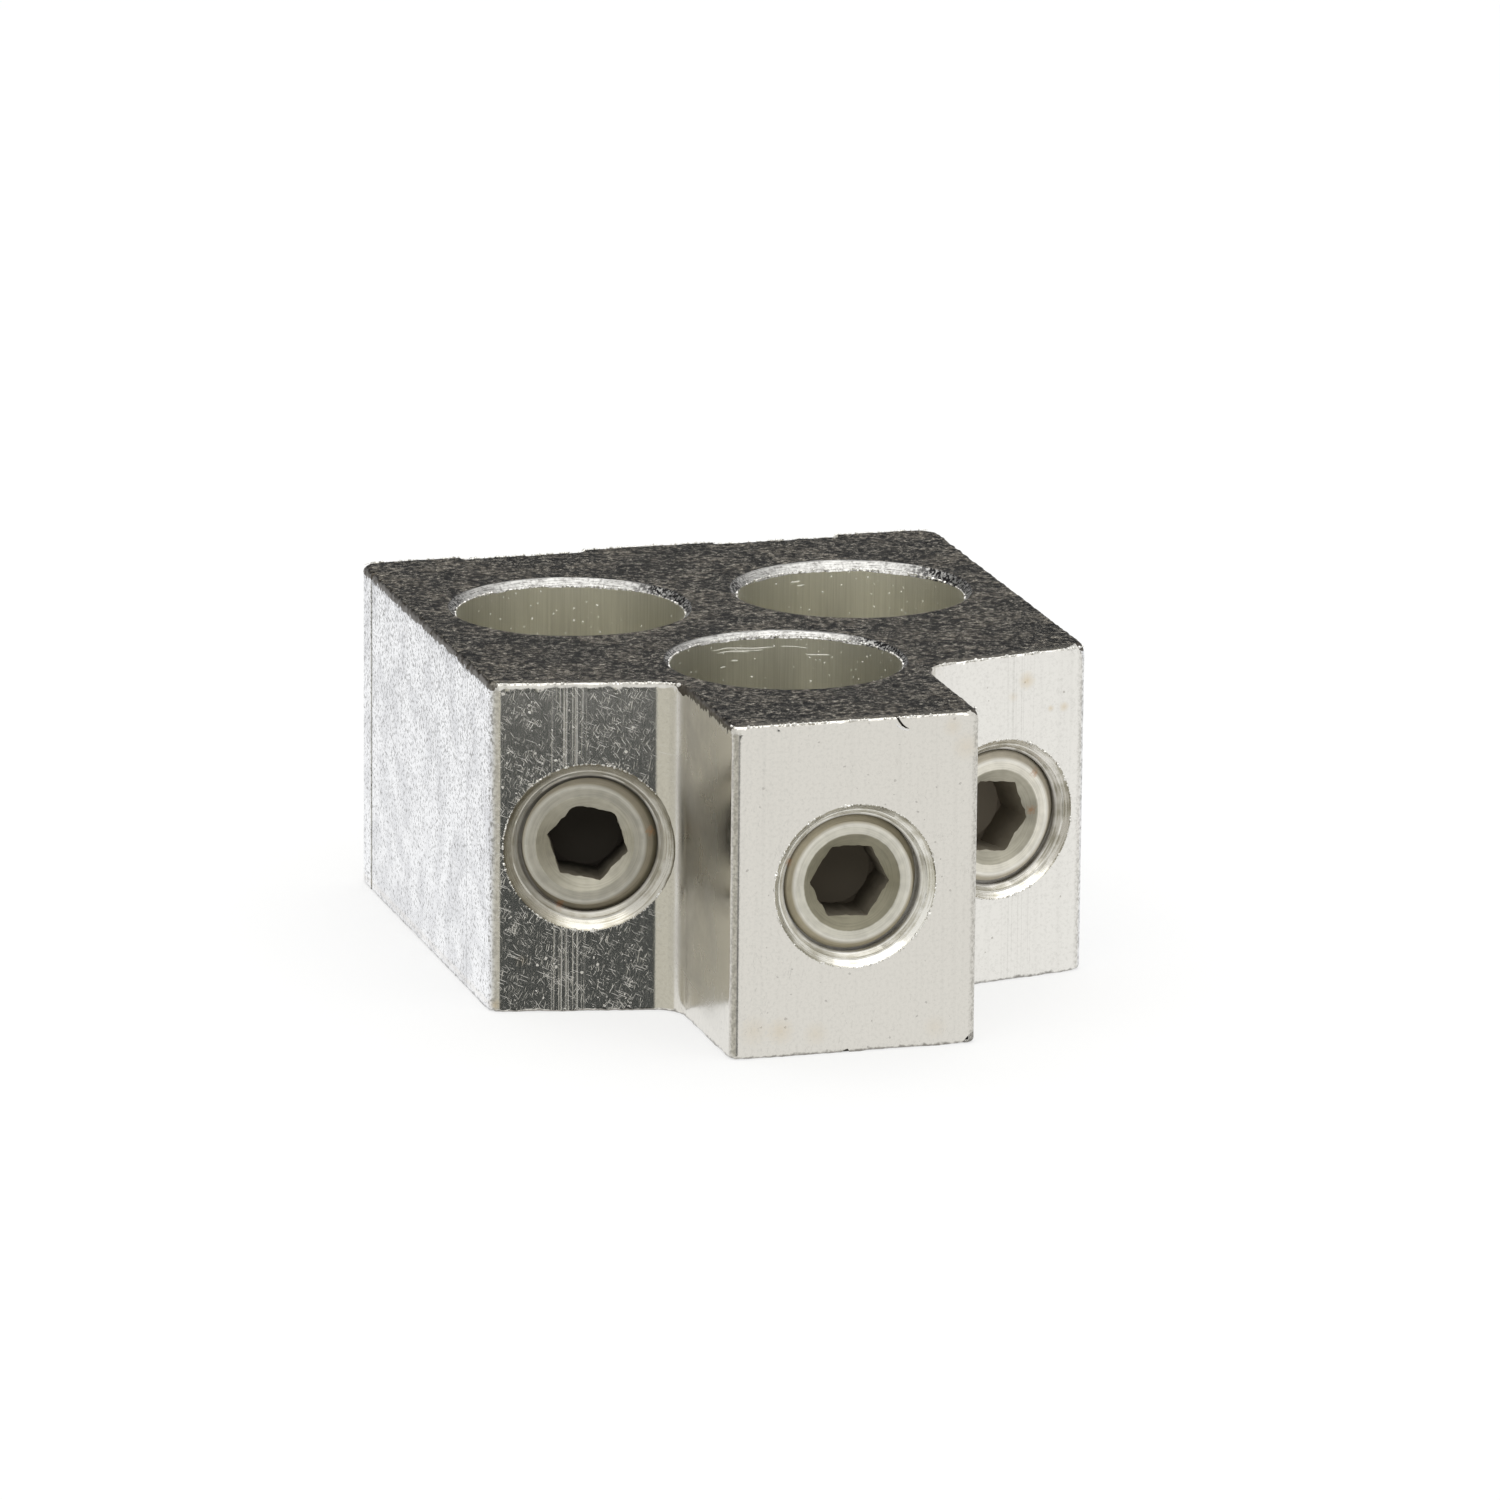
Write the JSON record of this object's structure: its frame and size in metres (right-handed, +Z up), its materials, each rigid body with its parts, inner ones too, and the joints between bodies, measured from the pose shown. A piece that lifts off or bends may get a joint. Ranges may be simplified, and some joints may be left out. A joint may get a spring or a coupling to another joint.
{
  "type": "mechanical lug",
  "caption": "Tin-plated aluminium block lug with upright wire bores in a triangle, each closed on its wire by a hexagon socket set screw.",
  "frame": {"origin": "middle of the block's bounding box, on the sawn face that it stands on", "axes": "+Z up the wire bores; -Y out of the nose, towards the set screws; +X to the right as the screws are seen"},
  "size_m": [0.0698, 0.084, 0.0381],
  "materials": {
    "body": "tin-plated extrusion with dull sawn ends",
    "screw": "turned and tin-plated, matte"
  },
  "bodies": {
    "lug_body": {"lug_body": "body"},
    "left_set_screw": {"left_set_screw": "screw"},
    "nose_set_screw": {"nose_set_screw": "screw"},
    "right_set_screw": {"right_set_screw": "screw"}
  },
  "joints": [
    {"name": "left_screw_travel", "type": "slide", "parent": "lug_body", "child": "left_set_screw", "axis": [0.2079, 0.9781, 0], "range_m": [-0.00423, 0.01552]},
    {"name": "nose_screw_travel", "type": "slide", "parent": "lug_body", "child": "nose_set_screw", "axis": [0, 1, 0], "range_m": [-0.00423, 0.00706]},
    {"name": "right_screw_travel", "type": "slide", "parent": "lug_body", "child": "right_set_screw", "axis": [-0.2079, 0.9781, 0], "range_m": [-0.00423, 0.01552]}
  ]
}
